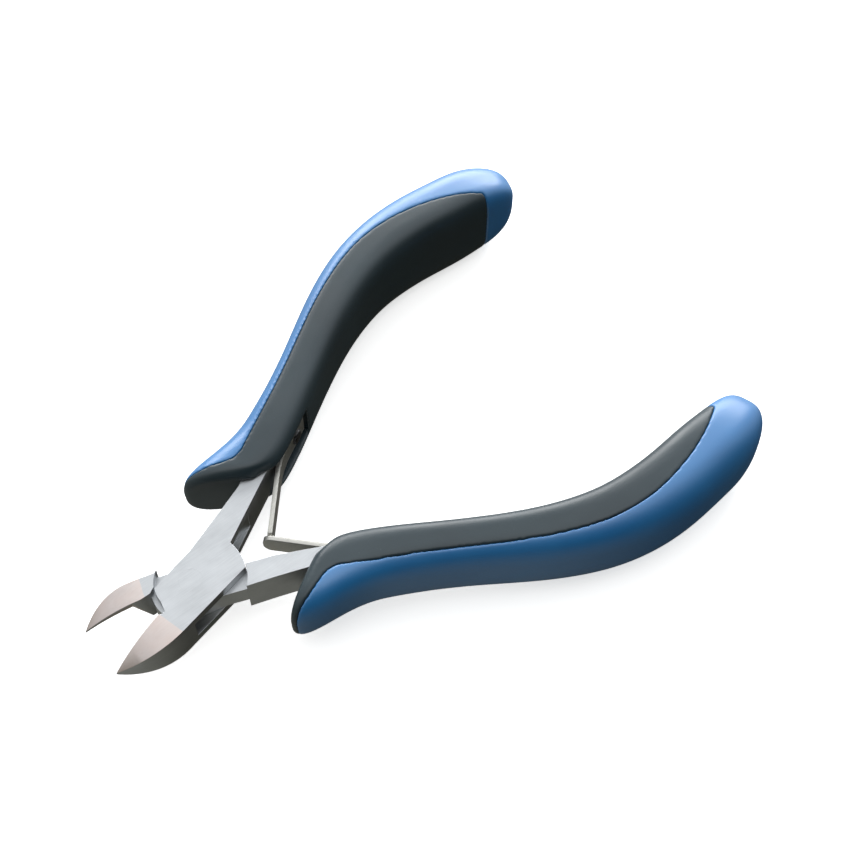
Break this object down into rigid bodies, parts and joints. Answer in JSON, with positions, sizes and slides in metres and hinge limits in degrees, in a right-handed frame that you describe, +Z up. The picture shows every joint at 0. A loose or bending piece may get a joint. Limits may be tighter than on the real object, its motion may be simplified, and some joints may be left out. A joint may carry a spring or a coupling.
{
  "type": "flush cutter",
  "caption": "Small box-joint flush cutter with pointed jaws, paired leaf springs and two-colour moulded grips, standing open.",
  "frame": {"origin": "the pivot axis at the joint's lower flat face", "axes": "+X from the joint towards the handles along the centre line, +Y towards the slotted half's handle, +Z up along the pivot axis"},
  "size_m": [0.1145, 0.084, 0.0171],
  "materials": {
    "steel": "satin ground",
    "spring_steel": "satin",
    "grip_dark": "soft matt moulding",
    "grip_blue": "satin moulding"
  },
  "bodies": {
    "box_side": {"box_half": "steel", "pivot_rivet": "steel", "leaf_spring_a": "spring_steel", "spring_rivet_a": "spring_steel", "grip_core_a": "grip_dark", "grip_cover_a": "grip_blue"},
    "inner_side": {"inner_half": "steel", "leaf_spring_b": "spring_steel", "spring_rivet_b": "spring_steel", "grip_core_b": "grip_dark", "grip_cover_b": "grip_blue"}
  },
  "joints": [
    {"name": "pivot", "type": "hinge", "parent": "box_side", "child": "inner_side", "pos_m": [0, 0, 0.00375], "axis": [0, 0, 1], "range_deg": [0, 28.8], "stiffness_Nm_per_rad": 0.5, "springref_deg": -11.46, "deforming": ["leaf_spring_a", "leaf_spring_b"]}
  ]
}
